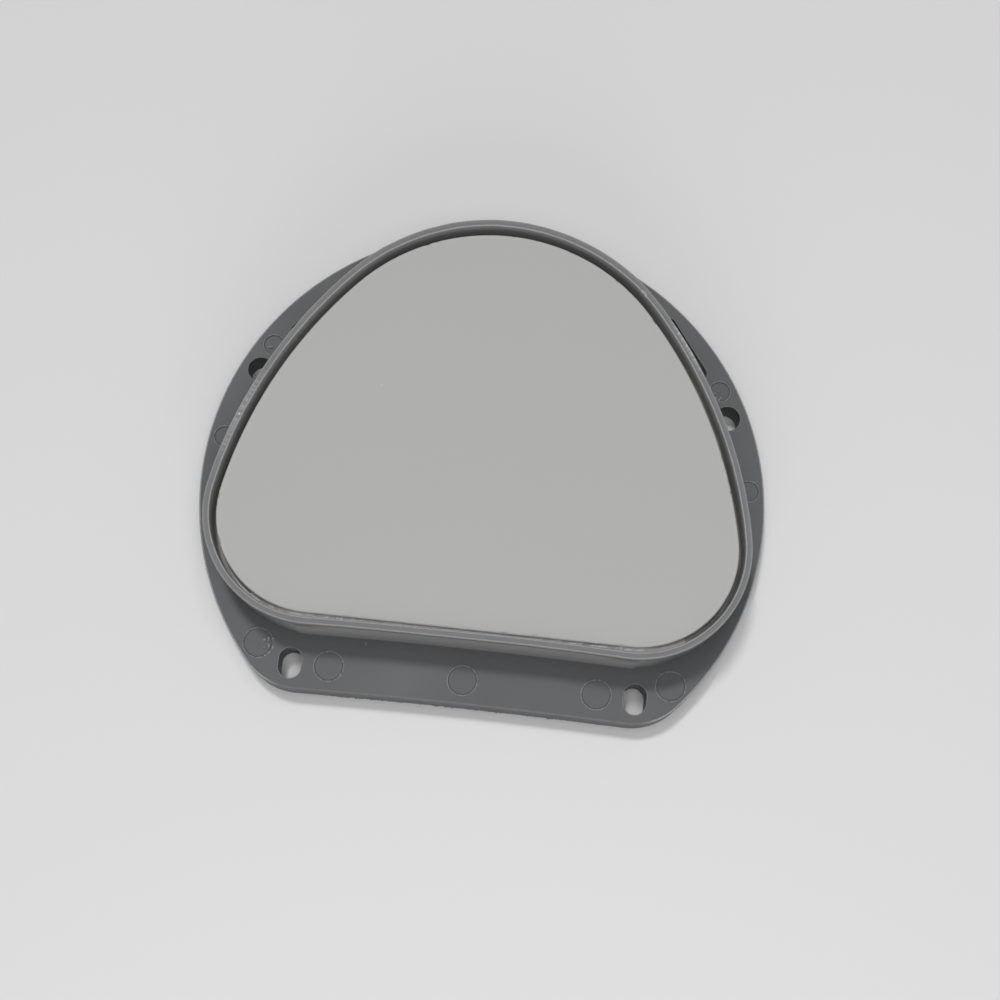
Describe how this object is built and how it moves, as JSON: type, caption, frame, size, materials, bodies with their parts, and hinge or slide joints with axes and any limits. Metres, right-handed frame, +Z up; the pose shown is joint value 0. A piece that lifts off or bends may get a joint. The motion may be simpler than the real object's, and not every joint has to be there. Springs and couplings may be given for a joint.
{
  "type": "zirconia milling disc",
  "caption": "Rounded-triangle zirconia milling blank bonded in a plastic holder ring with a slotted clamping flange.",
  "frame": {"origin": "centre of the round flange on the underside, where the blank's lower face is flush", "axes": "+X across the two front corners, +Y from the flat front to the rounded apex, +Z up from the underside to the rim"},
  "size_m": [0.0996, 0.0866, 0.019],
  "materials": {
    "holder_plastic": "moulded mid-grey plastic, satin, with thin bright flash lines",
    "zirconia": "pressed and pre-sintered, chalky matt white",
    "adhesive": "cured resin, dull gloss"
  },
  "bodies": {
    "root": {"holder": "holder_plastic", "blank": "zirconia", "adhesive": "adhesive"}
  },
  "joints": []
}
